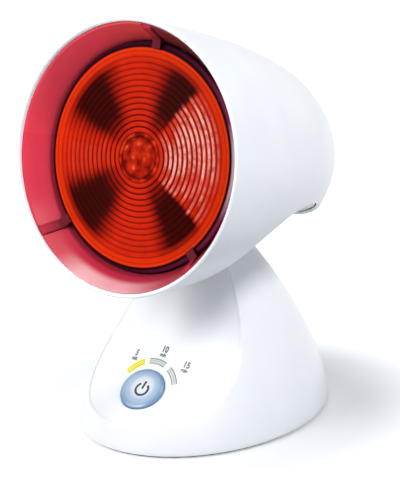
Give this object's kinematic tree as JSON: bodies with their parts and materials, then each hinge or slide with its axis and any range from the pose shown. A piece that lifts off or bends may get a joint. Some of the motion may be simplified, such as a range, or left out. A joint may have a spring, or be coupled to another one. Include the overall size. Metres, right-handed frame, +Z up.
{
  "type": "infrared heat therapy lamp",
  "caption": "Table-top infrared heat lamp: a round shade with a red pressed-glass bulb tilts on a bell-shaped stand with a power button and timer lights.",
  "frame": {"origin": "on the floor under the middle of the whole lamp's footprint", "axes": "+Z up, the lamp shines towards -Y, +X is to the right of someone who faces the lamp"},
  "size_m": [0.147, 0.1754, 0.2333],
  "materials": {
    "white_plastic": "satin",
    "black_plastic": "matte",
    "rubber": "matte",
    "crimson_liner": "metallised gloss",
    "red_glass": "pressed, ribbed",
    "mirror_glass": "silvered",
    "black_glass": "gloss",
    "clear_glass": "clear",
    "tungsten": "drawn wire",
    "brass": "satin",
    "aluminium": "spun",
    "steel": "zinc plated",
    "porcelain": "glazed",
    "blue_button": "gloss",
    "amber_light": "gloss",
    "grey_light": "gloss",
    "board_green": "lacquered",
    "fibre": "matte",
    "grey_sleeve": "matte"
  },
  "bodies": {
    "stand": {"stand_shell": "white_plastic", "control_panel": "white_plastic", "base_plate": "black_plastic", "rubber_foot_1": "rubber", "rubber_foot_2": "rubber", "rubber_foot_3": "rubber", "rubber_foot_4": "rubber", "base_screw_1": "steel", "base_screw_2": "steel", "base_screw_3": "steel", "base_screw_4": "steel", "ballast_weight": "steel", "terminal_block": "porcelain", "cable_gland": "black_plastic", "switch_body": "black_plastic", "timer_light_5": "amber_light", "timer_light_10": "grey_light", "timer_light_15": "grey_light", "timer_led_1": "amber_light", "timer_led_2": "amber_light", "timer_led_3": "amber_light", "light_baffle": "black_plastic", "circuit_board": "board_green", "board_screw_1": "steel", "board_screw_2": "steel", "relay": "black_plastic", "capacitor": "amber_light", "hinge_bolt": "steel", "hinge_nut": "steel", "spring_washer": "steel", "friction_washer_right": "fibre", "friction_washer_left": "fibre", "hinge_bush": "steel", "stand_lead": "grey_sleeve"},
    "shade": {"head_shell": "white_plastic", "underside_cover": "white_plastic", "liner_right": "crimson_liner", "liner_lower": "crimson_liner", "liner_left": "crimson_liner", "bulb_clip_top": "crimson_liner", "bulb_clip_right": "crimson_liner", "bulb_clip_left": "crimson_liner", "bulb_lens": "red_glass", "bulb_reflector": "mirror_glass", "bulb_cap": "brass", "bulb_insulator": "black_glass", "bulb_contact": "brass", "bulb_stem": "clear_glass", "bulb_filament": "tungsten", "heat_shield": "aluminium", "lamp_holder": "porcelain", "holder_contact": "brass", "tilt_bracket": "steel", "bracket_screw_1": "steel", "bracket_screw_2": "steel", "bracket_screw_3": "steel", "lamp_lead": "grey_sleeve"},
    "button": {"power_button": "blue_button", "switch_plunger": "black_plastic"}
  },
  "joints": [
    {"name": "shade_tilt", "type": "hinge", "parent": "stand", "child": "shade", "pos_m": [0, 0.0091, 0.094], "axis": [-1, 0, 0], "range_deg": [-20, 20]},
    {"name": "button_press", "type": "slide", "parent": "stand", "child": "button", "axis": [0, 0.6157, -0.788], "range_m": [0, 0.001], "stiffness_N_per_m": 1500, "springref_m": -0.001}
  ]
}
